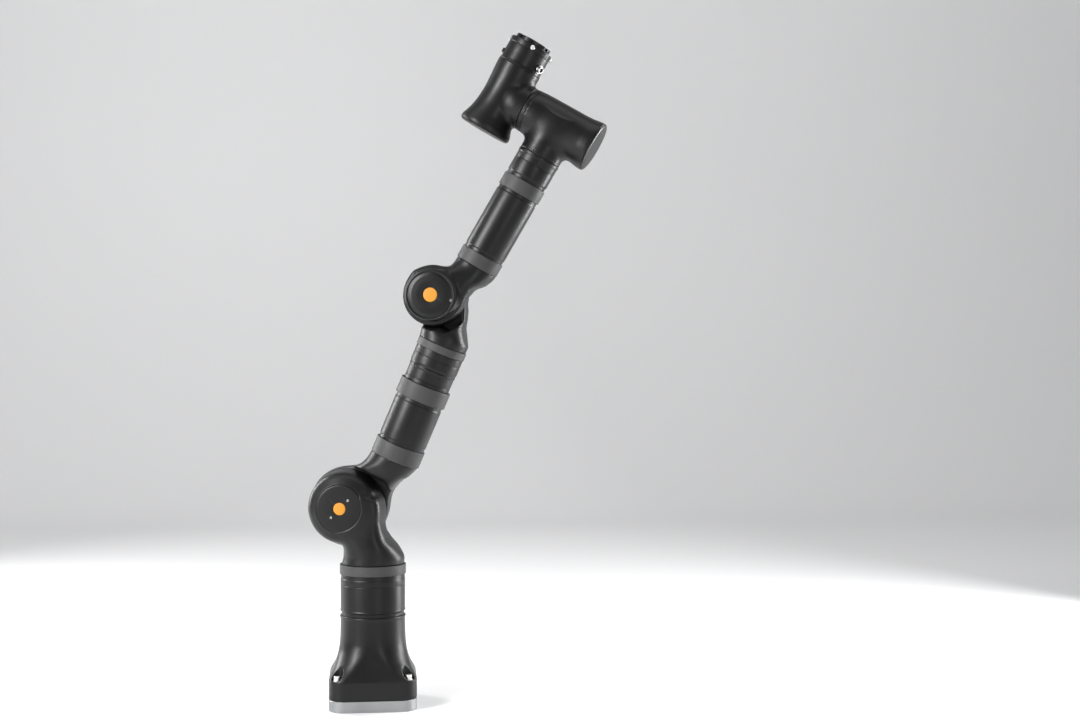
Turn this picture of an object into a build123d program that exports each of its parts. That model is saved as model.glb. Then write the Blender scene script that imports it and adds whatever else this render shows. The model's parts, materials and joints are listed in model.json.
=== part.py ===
from build123d import *
import math
import os

os.makedirs("parts", exist_ok=True)

# ---------------------------------------------------------------- driving dimensions, mm and degrees
# Whole arm
ARM_YAW = -15.0
UPPER_TILT = 23.3
FOREARM_TILT = 30.5

# Mounting plate, gasket and foot
PLATE_WIDTH = 160.0
PLATE_CORNER = 30.0
PLATE_THICK = 20.0
GASKET_THICK = 1.6
FOOT_TOP = 55.4
FOOT_BOTTOM = PLATE_THICK + GASKET_THICK
COLUMN_R = 59.4
FLARE = [(FOOT_TOP, 79.6, 30.0), (62.0, 79.0, 31.0), (78.0, 73.5, 40.0), (97.0, 68.0, 50.0),
         (117.0, 64.0, 57.0), (144.0, 60.6, 60.2)]
FOOT_SCREW_PITCH = 128.0
FOOT_SCREW_R = 4.0
FOOT_POCKET_R = 11.0
PLATE_HOLE_PITCH = 100.0
PLATE_HOLE_R = 3.4
PLATE_HOLE_DEPTH = 15.0
CONNECTOR_X = (-16.0, 16.0)
CONNECTOR_Z = 60.0
PANEL_Y = 66.0
PANEL_THICK = 3.0

# Joint lines and offsets
J1_LINE = 166.0
LIP_LOW = 163.2
LIP_R = 59.8
WAIST_R = 58.4
J2_OFFSET = -48.0
J2_HEIGHT = 365.0
UPPER_AXIS = 47.5
J3_LINE = 298.0
J4_ALONG = 425.0
FOREARM_AXIS = 38.0
J5_ALONG = 315.0
WRIST_ALONG = 379.0
J6_LINE = 64.0
WRIST_2_OFFSET = 115.0
J7_LINE = 58.0

# Grey bands: low edge, high edge, outer radius
BAND_1 = (241.5, 259.5, 61.0)
BAND_2 = (118.0, 148.0, 46.9)
BAND_3 = (237.0, 267.0, 48.0)
BAND_4 = (333.0, 347.0, 46.6)
BAND_5 = (85.0, 109.0, 40.9)
BAND_6 = (238.0, 263.0, 41.0)

# Tube outer radii and walls
UPPER_TUBE_R = 45.2
FORE_TUBE_R = 39.6
J3_LOWER_R = 43.6
J3_UPPER_R = 45.2
WALL = 5.0

# Barrels: radius, cap radius, half depth, radius of the coloured disc
J2_BARREL = (72.0, 44.0, 58.0, 13.0)
J4_BARREL = (56.0, 43.0, 52.0, 14.0)
CAP_THICK = 4.0
CAP_STEP = 7.0
CAP_SCREW_R = 2.6

# Cap screws: distance from the hinge axis, angles, how deep the heads are sunk
J2_CAP_SCREWS = (22.4, (44.0, 226.0), 0.2)
ELBOW_CAP_SCREWS = (39.3, (135.0, 315.0), 2.0)
FOREARM_CAP_SCREWS = (39.3, (15.0,), 2.0)

# Drive units: radius, length
DRIVE_1 = (50.0, 70.0)
DRIVE_2 = (54.0, 44.0)
DRIVE_3 = (36.0, 56.0)
DRIVE_4 = (42.0, 40.0)
DRIVE_5 = (31.0, 48.0)
DRIVE_6 = (28.0, 44.0)
DRIVE_7 = (31.0, 38.0)

# Fits
JOINT_GAP = 0.3
RUNNING = 0.05
SEAT = 0.05

# Tool flange, 50 mm pitch circle with four M6 holes
FLANGE_R = 40.6
FLANGE_TOP = 104.0
FACE_TOP = 112.0
FACE_R = 34.0
FACE_STEP = 2.5
SPIGOT_LOW = 94.0
RIM_SCREW_Z = 98.6
RIM_SCREW_TURN = -73.0
SIDE_CONNECTOR = (-25.0, 72.0)
SIDE_KNOB = (193.0, 72.0)
TOOL_PCD = 50.0
TOOL_HOLE_R = 2.5
TOOL_HOLE_DEPTH = 12.0
PILOT_R = 15.75
PILOT_DEPTH = 6.0

BOTTOM = (Align.CENTER, Align.CENTER, Align.MIN)


# ---------------------------------------------------------------- placing
def in_arm_plane(shape):
    """From the arm's own plane (X right, Y rear) to the part's frame."""
    return Rot(0, 0, ARM_YAW) * shape


def on_upper_arm(shape):
    """Origin on the J2 axis, Z along the upper arm."""
    return in_arm_plane(Pos(J2_OFFSET, 0, J2_HEIGHT) * Rot(0, UPPER_TILT, 0) * shape)


def on_upper_tube(shape):
    return on_upper_arm(Pos(UPPER_AXIS, 0, 0) * shape)


def on_forearm(shape):
    """Origin on the J4 axis, Z along the forearm."""
    tilt = math.radians(UPPER_TILT)
    right = J2_OFFSET + J4_ALONG * math.sin(tilt)
    up = J2_HEIGHT + J4_ALONG * math.cos(tilt)
    return in_arm_plane(Pos(right, 0, up) * Rot(0, FOREARM_TILT, 0) * shape)


def on_fore_tube(shape):
    return on_forearm(Pos(FOREARM_AXIS, 0, 0) * shape)


def on_wrist(shape):
    """Origin where the J5 and J6 axes cross, X along J6."""
    return on_fore_tube(Pos(0, 0, WRIST_ALONG) * shape)


def on_wrist_2(shape):
    """Origin on the J7 axis, Z towards the tool."""
    return on_wrist(Pos(-WRIST_2_OFFSET, 0, 0) * shape)


def to_rear(shape):
    """Z axis turned to point to the rear (+Y)."""
    return Rot(-90, 0, 0) * shape


def to_front(shape):
    """Z axis turned to point to the front (-Y)."""
    return Rot(90, 0, 0) * shape


def to_left(shape):
    """Z axis turned to point to -X."""
    return Rot(0, -90, 0) * shape


def to_right(shape):
    """Z axis turned to point to +X."""
    return Rot(0, 90, 0) * shape


# ---------------------------------------------------------------- basic solids
def rod(radius, low, high):
    return Pos(0, 0, low) * Cylinder(radius, high - low, align=BOTTOM)


def ring(outer, inner, low, high):
    return rod(outer, low, high) - rod(inner, low - 1, high + 1)


def turned(points, rounding=0.0):
    """Solid of revolution about Z from (radius, height) corners."""
    face = make_face(Polyline(*points, close=True))
    if rounding > 0:
        outer = [v for v in face.vertices() if v.X > 1.0]
        face = fillet(outer, rounding)
    return revolve(Plane.XZ * face, Axis.Z)


def lofted(sections):
    """Loft through ellipses: height, centre x, centre y, half width, half depth."""
    faces = [Pos(cx, cy, z) * Ellipse(hx, hy) for z, cx, cy, hx, hy in sections]
    return loft([f.face() for f in faces])


def around(count, radius, shape, start=0.0):
    """Copies of a shape set round the Z axis."""
    return [Rot(0, 0, start + 360.0 * i / count) * Pos(radius, 0, 0) * shape for i in range(count)]


def group(solids):
    return Compound(children=[s for part in solids for s in part.solids()])


def cap_screw(thread_r, head_r, head_height, length):
    """Socket-head screw, head resting on Z 0, shank pointing down."""
    head = rod(head_r, 0, head_height)
    head = chamfer(head.edges().sort_by(Axis.Z)[-1], 0.12 * head_r)
    socket = extrude(Pos(0, 0, head_height) * RegularPolygon(0.52 * head_r, 6), amount=-0.6 * head_height)
    return head + rod(thread_r, -length, 0) - socket


def button_screw(head_r, length):
    """Small round-head screw with a hexagon socket, head resting on Z 0."""
    head = turned([(0, 0), (head_r, 0), (head_r, 0.35 * head_r), (0.7 * head_r, 0.75 * head_r),
                   (0, 0.75 * head_r)])
    socket = extrude(Pos(0, 0, 0.75 * head_r) * RegularPolygon(0.45 * head_r, 6), amount=-0.5 * head_r)
    return head + rod(0.5 * head_r, -length, 0) - socket


# ---------------------------------------------------------------- drives
def drive_unit(radius, length):
    """Sealed drive, output face on Z 0: bearing, gear ring, wave generator, stator, rotor, board."""
    r = radius - SEAT
    bearing = ring(r, 0.66 * radius + RUNNING, -0.2 * length, -0.5)
    gear_ring = ring(r, 0.82 * radius, -0.42 * length, -0.22 * length)
    cup = ring(0.81 * radius, 0.62 * radius, -0.42 * length, -0.22 * length)
    stator = ring(r, 0.62 * radius, -0.82 * length, -0.46 * length)
    slots = around(12, 0.66 * radius, Pos(0, 0, -0.83 * length) * Box(
        0.1 * radius, 0.06 * radius, 0.4 * length, align=BOTTOM))
    for slot in slots:
        stator = stator - slot
    rotor = ring(0.6 * radius, 0.3 * radius, -0.82 * length, -0.46 * length)
    board = ring(r, 0.3 * radius, -0.96 * length, -0.92 * length)
    return group([bearing, gear_ring, cup, stator, rotor, board])


def drive_output(radius, length):
    """Output hub and hollow shaft that turn with the next link."""
    flange = rod(0.8 * radius, JOINT_GAP, 5.0)
    boss = rod(0.66 * radius, -0.19 * length, JOINT_GAP + 0.1)
    shaft = rod(0.28 * radius, -0.9 * length, 0)
    return flange + boss + shaft - rod(0.2 * radius, -length, 6.0)


# ---------------------------------------------------------------- base
def mounting_plate():
    plate = extrude(RectangleRounded(PLATE_WIDTH, PLATE_WIDTH, PLATE_CORNER), PLATE_THICK)
    plate = chamfer(plate.edges().group_by(Axis.Z)[-1], 0.8)
    for spot in GridLocations(FOOT_SCREW_PITCH, FOOT_SCREW_PITCH, 2, 2):
        plate = plate - spot * rod(FOOT_SCREW_R, 4.0, PLATE_THICK + 1)
    for spot in GridLocations(PLATE_HOLE_PITCH, PLATE_HOLE_PITCH, 2, 2):
        plate = plate - spot * rod(PLATE_HOLE_R, -1, PLATE_HOLE_DEPTH)
    return plate


def base_gasket():
    outline = RectangleRounded(PLATE_WIDTH - 2.4, PLATE_WIDTH - 2.4, PLATE_CORNER - 1.2)
    seal = Pos(0, 0, PLATE_THICK) * extrude(outline, GASKET_THICK)
    seal = seal - rod(48.0, 0, 60)
    for spot in GridLocations(FOOT_SCREW_PITCH, FOOT_SCREW_PITCH, 2, 2):
        seal = seal - spot * rod(FOOT_SCREW_R + 0.5, 0, 60)
    return seal


def base_housing():
    foot = extrude(RectangleRounded(PLATE_WIDTH, PLATE_WIDTH, PLATE_CORNER), FOOT_TOP - FOOT_BOTTOM)
    foot = Pos(0, 0, FOOT_BOTTOM) * foot
    foot = chamfer(foot.edges().group_by(Axis.Z)[0], 0.8)
    sections = [(Pos(0, 0, z) * RectangleRounded(2 * w, 2 * w, c)).face() for z, w, c in FLARE]
    flare = loft(sections)
    body = foot + flare + rod(60.6, FLARE[-1][0], 150.0) + rod(COLUMN_R, 150.0, J1_LINE)
    body = body + rod(LIP_R, LIP_LOW, J1_LINE)
    body = body - rod(48.0, 0, J1_LINE + 1)
    body = body - rod(DRIVE_1[0], J1_LINE - DRIVE_1[1] - 4, J1_LINE + 1)
    for spot in GridLocations(FOOT_SCREW_PITCH, FOOT_SCREW_PITCH, 2, 2):
        body = body - spot * rod(FOOT_POCKET_R, FOOT_TOP, 140)
        body = body - spot * rod(FOOT_SCREW_R + 0.5, 0, 60)
    for x in CONNECTOR_X:
        body = body - Pos(x, PANEL_Y, CONNECTOR_Z) * to_rear(rod(9.0, -40, 1))
    return body - Pos(0, PANEL_Y + 15, CONNECTOR_Z) * Box(62, 30, 30)


def base_screws():
    screw = cap_screw(FOOT_SCREW_R - 0.05, 6.5, 8.0, 48.0)
    spots = GridLocations(FOOT_SCREW_PITCH, FOOT_SCREW_PITCH, 2, 2)
    return group([spot * Pos(0, 0, FOOT_TOP + 1.6) * screw for spot in spots])


def base_washers():
    washer = ring(8.0, FOOT_SCREW_R + 0.2, FOOT_TOP, FOOT_TOP + 1.6)
    return group([s * washer for s in GridLocations(FOOT_SCREW_PITCH, FOOT_SCREW_PITCH, 2, 2)])


def base_connector_panel():
    panel = Pos(0, PANEL_Y + PANEL_THICK / 2, CONNECTOR_Z) * Box(61.8, PANEL_THICK, 29.8)
    for x in CONNECTOR_X:
        panel = panel - Pos(x, PANEL_Y, CONNECTOR_Z) * to_rear(rod(9.0, -1, 5))
    return panel


def base_connectors():
    """Two round sockets in the rear recess."""
    shell = turned([(0, -8), (8.9, -8), (8.9, PANEL_THICK), (11.0, PANEL_THICK), (11.0, 8.6), (8.0, 8.6),
                    (8.0, 1.0), (0, 1.0)])
    for i in range(5):
        shell = shell + Rot(0, 0, 72 * i) * Pos(4.5, 0, 0) * rod(0.8, 0, 6)
    return group([Pos(x, PANEL_Y, CONNECTOR_Z) * to_rear(shell) for x in CONNECTOR_X])


# ---------------------------------------------------------------- shared link pieces
def band(size, inner):
    low, high, outer = size
    body = ring(outer, inner, low, high)
    edges = body.edges().filter_by(GeomType.CIRCLE).sort_by(SortBy.RADIUS)[-2:]
    return chamfer(edges, 0.6)


def barrel(size):
    """Solid half of a hinge, flat side near Z 0, narrowing to its cap seat."""
    radius, cap_r, depth = size[:3]
    seat = depth - CAP_THICK
    return turned([(0, JOINT_GAP / 2), (radius, JOINT_GAP / 2), (radius, 0.4 * depth),
                   (0.93 * radius, 0.68 * depth), (cap_r + 2.0, seat), (0, seat)], 2.0)


def barrel_cap(size):
    """Cover that closes a barrel, with a shallow seat for the coloured disc."""
    radius, cap_r, depth, disc_r = size
    seat = depth - CAP_THICK
    spigot_r = cap_r - CAP_STEP - SEAT
    cap = turned([(0, seat - 5), (spigot_r, seat - 5), (spigot_r, seat), (cap_r, seat),
                  (cap_r, depth - 1.6), (cap_r - 4, depth), (0, depth)])
    return cap - rod(disc_r, depth - 1.0, depth + 1)


def cap_disc(size):
    return rod(size[3] - SEAT, size[2] - 1.0, size[2] + 0.3)


def drive_pocket(size, drive):
    """Bore for a drive in the joint face, opening into a hollow behind the cap."""
    return rod(drive[0], -1, drive[1] + 2) + rod(size[1] - CAP_STEP, drive[1] + 1, size[2] + 2)


def hinge_cavity(size, start):
    """Hollow inside a barrel, from the joint-side web to the cap."""
    radius, cap_r, depth = size[:3]
    inner = radius - 7.0
    opening = cap_r - CAP_STEP
    return turned([(0, start), (inner, start), (inner, 0.42 * depth), (inner - 6, 0.62 * depth),
                   (opening, depth - 12), (opening, depth), (0, depth)])


def joint_face(drive):
    """Recess for an output hub, and the passage through its web."""
    return rod(0.8 * drive[0] + SEAT, -1.0, 5.0) + rod(0.3 * drive[0], -1.0, 12.0)


# ---------------------------------------------------------------- shoulder
def shoulder_joint_sleeve():
    low = J1_LINE + JOINT_GAP
    inner = COLUMN_R - 7
    sleeve = turned([(inner, low), (WAIST_R, low), (WAIST_R, low + 8), (COLUMN_R, low + 16),
                     (COLUMN_R, BAND_1[0]), (inner, BAND_1[0])])
    sleeve = sleeve - ring(70, COLUMN_R - 0.6, 221.5, 222.5)
    spigot = ring(BAND_1[2] - 6.05, COLUMN_R - 12, BAND_1[0] - 8, (BAND_1[0] + BAND_1[1]) / 2)
    web = ring(COLUMN_R - 6, 0.3 * DRIVE_1[0], J1_LINE + 5, J1_LINE + 10)
    return sleeve + spigot + web


def shoulder_neck():
    """Curved neck that leans from the column to the front barrel."""
    return lofted([(BAND_1[1], 0, 0, 57.5, 57.5), (272, 1.5, -1, 57, 56.5), (290, -3, -5, 52, 53),
                   (312, -16, -9, 49, 44), (335, -32, -14, 53, 38), (365, -46, -16, 60, 34)])


def shoulder_housing():
    low = BAND_1[1]
    hinge = Pos(J2_OFFSET, 0, J2_HEIGHT)
    spigot = rod(BAND_1[2] - 6.05, (BAND_1[0] + low) / 2, low + 2)
    body = spigot + shoulder_neck() + hinge * to_front(barrel(J2_BARREL))
    body = body - hinge * to_rear(rod(81.0, -JOINT_GAP / 2, 90))
    body = body - rod(46.0, low - 12, low + 30)
    body = body - hinge * to_front(drive_pocket(J2_BARREL, DRIVE_2))
    return body - hinge * Pos(4, -26, 0) * Rot(0, 157, 0) * rod(17, 30, 110)


def hinge_cap(hinge, turn, size):
    return hinge * turn(barrel_cap(size))


def hinge_screws(hinge, turn, size, places):
    """Small bright screws sunk into a cap."""
    radius, angles, sunk = places
    screw = Pos(0, 0, size[2] - sunk) * button_screw(CAP_SCREW_R, 5.8)
    return group([hinge * turn(Rot(0, 0, a) * Pos(radius, 0, 0) * screw) for a in angles])


def screw_holes(hinge, turn, size, places):
    radius, angles, sunk = places
    hole = rod(0.5 * CAP_SCREW_R + SEAT, size[2] - 8.0, size[2] + 1)
    hole = hole + rod(CAP_SCREW_R + 0.1, size[2] - sunk, size[2] + 1)
    return [hinge * turn(Rot(0, 0, a) * Pos(radius, 0, 0) * hole) for a in angles]


def drilled(shape, holes):
    for hole in holes:
        shape = shape - hole
    return shape


# ---------------------------------------------------------------- upper arm, origin on the J2 axis
def upper_arm_housing():
    low, high, outer = BAND_2
    neck = lofted([(0, -1, 26, 66, 23), (30, -1, 25, 63, 26), (60, 11, 17, 53, 35), (82, 28, 9, 46, 44),
                   (100, 40, 3, 43.5, 45.5), (low, UPPER_AXIS, 0, 45.6, 45.6)])
    spigot = Pos(UPPER_AXIS, 0, 0) * rod(outer - 5, low - 2, (low + high) / 2)
    body = neck + spigot + to_rear(barrel(J2_BARREL))
    body = body - to_front(rod(77.0, -JOINT_GAP / 2, 90))
    body = body - Pos(UPPER_AXIS, 0, 0) * rod(36.0, low - 22, high)
    body = body - to_rear(hinge_cavity(J2_BARREL, 10.0)) - to_rear(joint_face(DRIVE_2))
    return body - Pos(16, 22, 46) * Rot(0, 30, 0) * rod(17, 0, 62)


def tube(low_band, high_band, outer):
    """Straight tube whose two spigots reach half way under its bands."""
    low, high = low_band[1], high_band[0]
    low_mid = (low_band[0] + low_band[1]) / 2
    high_mid = (high_band[0] + high_band[1]) / 2
    body = ring(outer, outer - 9, low, high)
    body = body + ring(low_band[2] - 5, outer - 9, low_mid, low + 1)
    return body + ring(high_band[2] - 5, outer - 9, high - 1, high_mid)


def joint_housing(band_size, outer, joint, drive):
    """Short housing above a band that holds the next drive."""
    low, high, band_outer = band_size
    body = rod(outer, high, joint) + rod(band_outer - 5, (low + high) / 2, high + 1)
    body = body - ring(outer + 5, outer - 0.7, high + 7, high + 8.2)
    bore = rod(drive[0], low - 60, joint + 1)
    return body - bore


def joint_sleeve(band_size, outer, joint, drive):
    """Rotating sleeve from a joint line up to the band above it."""
    low = joint + JOINT_GAP
    body = rod(outer, low, band_size[0]) + rod(band_size[2] - 5, low + 5, (band_size[0] + band_size[1]) / 2)
    body = body - rod(0.8 * drive[0] + SEAT, joint, joint + 5) - rod(0.3 * drive[0], joint, 400)
    return body - rod(outer - 11, joint + 12, 400)


# ---------------------------------------------------------------- elbow, in the upper arm's frame
def elbow_housing():
    low, high, outer = BAND_4
    neck = lofted([(high, UPPER_AXIS, 0, 45.4, 45.4), (360, 46.0, 1, 45.6, 45), (376, 38.5, 5, 41.5, 42),
                   (395, 22, 12, 44, 33), (425, 2, 21, 52, 23)])
    spigot = Pos(UPPER_AXIS, 0, 0) * rod(outer - 5, (low + high) / 2, high + 1)
    hinge = Pos(0, 0, J4_ALONG)
    body = neck + spigot + hinge * to_rear(barrel(J4_BARREL))
    body = body - hinge * to_front(rod(60.0, -JOINT_GAP / 2, 90))
    body = body - Pos(UPPER_AXIS, 0, 0) * rod(35.0, low, high + 8)
    body = body - hinge * to_rear(drive_pocket(J4_BARREL, DRIVE_4))
    return body - Pos(40, 12, 350) * Rot(0, -32, 0) * rod(13, 0, 50)


# ---------------------------------------------------------------- forearm, origin on the J4 axis
def forearm_housing():
    low, high, outer = BAND_5
    neck = lofted([(0, 2, -21, 52, 23), (24, 6, -20, 51, 25), (46, 19, -12, 44, 33),
                   (66, 33, -4, 39.5, 39.5), (low, FOREARM_AXIS, 0, 39.8, 39.8)])
    spigot = Pos(FOREARM_AXIS, 0, 0) * rod(outer - 5, low - 2, (low + high) / 2)
    body = neck + spigot + to_front(barrel(J4_BARREL))
    body = body - to_rear(rod(60.0, -JOINT_GAP / 2, 90))
    body = body - Pos(FOREARM_AXIS, 0, 0) * rod(30.6, low - 14, high)
    body = body - to_front(hinge_cavity(J4_BARREL, 10.0)) - to_front(joint_face(DRIVE_4))
    return body - Pos(14, -20, 30) * Rot(0, 26, 0) * rod(13, 0, 50)


# ---------------------------------------------------------------- wrist 1, origin on the wrist centre
def wrist_1_housing():
    low = J5_ALONG + JOINT_GAP - WRIST_ALONG
    stem = rod(FORE_TUBE_R, low, -20)
    body = to_right(turned([(0, -J6_LINE), (41.5, -J6_LINE), (42.2, -50), (43.4, -36), (43.6, 34), (45.5, 56),
                            (47.6, 70), (46.6, 77), (0, 77)], 0.8))
    body = body + stem + to_right(rod(34, -40, 0)) + Sphere(43.2)
    body = body - to_right(rod(36, -J6_LINE + 10, 78) + rod(41.0, 71, 78))
    body = body - to_left(rod(DRIVE_6[0], J6_LINE - DRIVE_6[1] - 10, J6_LINE + 1))
    hub = Pos(0, 0, J5_ALONG - WRIST_ALONG) * (rod(0.8 * DRIVE_5[0] + SEAT, -1, 5) + rod(9.3, -1, 30))
    return body - hub - rod(30, low + 10, 0)


def wrist_lid(seat_r, rim_r, low, high):
    """Round end cover with a spigot and a rim, outer face on top."""
    return turned([(0, low - 5), (seat_r - 1.05, low - 5), (seat_r - 1.05, low), (rim_r, low),
                   (rim_r, high - 1.2), (rim_r - 1.6, high), (0, high)])


def lid_screws(radius, height, count):
    screw = Pos(0, 0, height - 2.0) * button_screw(2.2, 5.0)
    return group(around(count, radius, screw, 30.0))


def lid_holes(radius, height, count):
    hole = rod(1.15, height - 8, height) + rod(2.5, height - 2.0, height + 1)
    return around(count, radius, hole, 30.0)


# ---------------------------------------------------------------- wrist 2, origin on the J7 axis
def wrist_2_housing():
    stem_end = WRIST_2_OFFSET - J6_LINE - JOINT_GAP
    body = turned([(0, -70), (48.4, -70), (49.6, -64), (42.6, -40), (38.6, -14), (38.8, 8), (40.4, 30),
                   (42, J7_LINE), (0, J7_LINE)], 0.8)
    body = body + to_right(turned([(0, 0), (36, 0), (41, 24), (41, stem_end), (0, stem_end)]))
    body = body - rod(32.5, -62, J7_LINE - 44) - rod(41.0, -71, -64)
    body = body - rod(DRIVE_7[0], J7_LINE - 44, J7_LINE + 1)
    hub = rod(0.8 * DRIVE_6[0] + SEAT, stem_end + JOINT_GAP - 5, stem_end + 1) + rod(8.4, 10, stem_end)
    return body - to_right(hub) - to_right(rod(26, 0, stem_end - 12))


# ---------------------------------------------------------------- tool flange, origin on the J7 axis
def tool_flange_body():
    low = J7_LINE + JOINT_GAP
    body = turned([(0, low), (FLANGE_R, low), (FLANGE_R, FLANGE_TOP), (0, FLANGE_TOP)], 0.8)
    body = body - rod(0.8 * DRIVE_7[0] + SEAT, J7_LINE, J7_LINE + 5) - rod(9.3, J7_LINE, 200)
    body = body - rod(26, J7_LINE + 10, 88) - rod(14, 80, 100)
    body = body - rod(29.05, SPIGOT_LOW, FLANGE_TOP + 1)
    for hole in rim_spots(rod(2.05, 24, 50)):
        body = body - hole
    return body - side_spot(SIDE_CONNECTOR, rod(6.05, 30, 50)) - side_spot(SIDE_KNOB, rod(4.0, 34, 50))


def side_spot(place, shape):
    """Put a shape that points along Z on the side of the flange body."""
    angle, height = place
    return Rot(0, 0, angle) * Pos(0, 0, height) * to_right(shape)


def rim_spots(shape):
    """Four copies of a shape that points along Z, set round the flange's rim."""
    return [side_spot((RIM_SCREW_TURN + 90.0 * i, RIM_SCREW_Z), shape) for i in range(4)]


def tool_face():
    """Machined tool face with pilot bore, four tapped holes, dowel hole and edge notches."""
    face = rod(29.0, SPIGOT_LOW, FLANGE_TOP) + rod(FACE_R - 3, FLANGE_TOP, FACE_TOP)
    face = face + rod(FACE_R, FLANGE_TOP + FACE_STEP, FACE_TOP)
    face = face - rod(PILOT_R, FACE_TOP - PILOT_DEPTH, FACE_TOP + 1)
    for hole in around(4, TOOL_PCD / 2, rod(TOOL_HOLE_R, FACE_TOP - TOOL_HOLE_DEPTH, FACE_TOP + 1), 45.0):
        face = face - hole
    face = face - Pos(TOOL_PCD / 2, 0, 0) * rod(3.0, FACE_TOP - 6, FACE_TOP + 1)
    notch = Pos(0, 0, FLANGE_TOP + FACE_STEP) * Box(6.0, 11.0, 10.0, align=BOTTOM)
    for cut in around(4, FACE_R, notch, RIM_SCREW_TURN + 45.0):
        face = face - cut
    for hole in rim_spots(rod(2.05, 24, 50)):
        face = face - hole
    return face


def tool_face_screws():
    """Four screws that hold the tool face through the flange's rim."""
    screw = Pos(0, 0, FLANGE_R) * cap_screw(2.0, 4.2, 2.2, FLANGE_R - 24.5)
    return group(rim_spots(screw))


def tool_connector():
    """Round threaded signal connector low on the flange's side."""
    body = rod(6.0, 31, FLANGE_R + 6.0) + rod(7.6, FLANGE_R + 0.2, FLANGE_R + 2.2)
    body = body - ring(9.0, 5.6, FLANGE_R + 3.4, FLANGE_R + 3.9) - ring(9.0, 5.6, FLANGE_R + 4.5, FLANGE_R + 5.0)
    body = body - rod(4.6, FLANGE_R - 1.0, FLANGE_R + 7)
    for i in range(5):
        body = body + Rot(0, 0, 72 * i) * Pos(2.6, 0, 0) * rod(0.5, FLANGE_R - 2, FLANGE_R + 3)
    return side_spot(SIDE_CONNECTOR, body)


def tool_button():
    """Small round guide button on the flange's left side."""
    button = turned([(0, 35), (3.95, 35), (3.95, FLANGE_R + 0.2), (4.6, FLANGE_R + 0.2),
                     (4.6, FLANGE_R + 2.2), (3.4, FLANGE_R + 3.2), (0, FLANGE_R + 3.2)])
    return side_spot(SIDE_KNOB, button)


# ---------------------------------------------------------------- assembly
def base_parts():
    yield "mounting_plate", mounting_plate()
    yield "base_gasket", base_gasket()
    yield "base_housing", base_housing()
    yield "base_screws", base_screws()
    yield "base_washers", base_washers()
    yield "base_connector_panel", base_connector_panel()
    yield "base_connectors", base_connectors()
    yield "j1_drive", Pos(0, 0, J1_LINE) * drive_unit(*DRIVE_1)


def shoulder_parts():
    hinge = Pos(J2_OFFSET, 0, J2_HEIGHT)
    holes = screw_holes(hinge, to_front, J2_BARREL, J2_CAP_SCREWS)
    yield "j1_output", Pos(0, 0, J1_LINE) * drive_output(*DRIVE_1)
    yield "shoulder_joint_sleeve", shoulder_joint_sleeve()
    yield "shoulder_band", band(BAND_1, BAND_1[2] - 6)
    yield "shoulder_housing", shoulder_housing()
    yield "shoulder_cap", drilled(hinge_cap(hinge, to_front, J2_BARREL), holes)
    yield "shoulder_cap_disc", hinge * to_front(cap_disc(J2_BARREL))
    yield "shoulder_cap_screws", hinge_screws(hinge, to_front, J2_BARREL, J2_CAP_SCREWS)
    yield "j2_drive", hinge * to_front(Rot(180, 0, 0) * drive_unit(*DRIVE_2))


def upper_arm_parts():
    here = Pos(0, 0, 0)
    axis = Pos(UPPER_AXIS, 0, 0)
    holes = screw_holes(here, to_rear, J2_BARREL, J2_CAP_SCREWS)
    yield "j2_output", to_rear(drive_output(*DRIVE_2))
    yield "upper_arm_housing", upper_arm_housing()
    yield "upper_arm_lower_band", axis * band(BAND_2, BAND_2[2] - 4.95)
    yield "upper_arm_tube", axis * tube(BAND_2, BAND_3, UPPER_TUBE_R)
    yield "upper_arm_upper_band", axis * band(BAND_3, BAND_3[2] - 4.95)
    yield "upper_arm_joint_housing", axis * joint_housing(BAND_3, J3_LOWER_R, J3_LINE, DRIVE_3)
    yield "upper_arm_cap", drilled(hinge_cap(here, to_rear, J2_BARREL), holes)
    yield "upper_arm_cap_disc", to_rear(cap_disc(J2_BARREL))
    yield "upper_arm_cap_screws", hinge_screws(here, to_rear, J2_BARREL, J2_CAP_SCREWS)
    yield "j3_drive", axis * Pos(0, 0, J3_LINE) * drive_unit(*DRIVE_3)


def elbow_parts():
    hinge = Pos(0, 0, J4_ALONG)
    axis = Pos(UPPER_AXIS, 0, 0)
    holes = screw_holes(hinge, to_rear, J4_BARREL, ELBOW_CAP_SCREWS)
    yield "j3_output", axis * Pos(0, 0, J3_LINE) * drive_output(*DRIVE_3)
    yield "elbow_joint_sleeve", axis * joint_sleeve(BAND_4, J3_UPPER_R, J3_LINE, DRIVE_3)
    yield "elbow_band", axis * band(BAND_4, BAND_4[2] - 4.95)
    yield "elbow_housing", drilled(elbow_housing(), holes)
    yield "elbow_cap", drilled(hinge_cap(hinge, to_rear, J4_BARREL), holes)
    yield "elbow_cap_disc", hinge * to_rear(cap_disc(J4_BARREL))
    yield "elbow_cap_screws", hinge_screws(hinge, to_rear, J4_BARREL, ELBOW_CAP_SCREWS)
    yield "j4_drive", hinge * to_rear(Rot(180, 0, 0) * drive_unit(*DRIVE_4))


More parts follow.
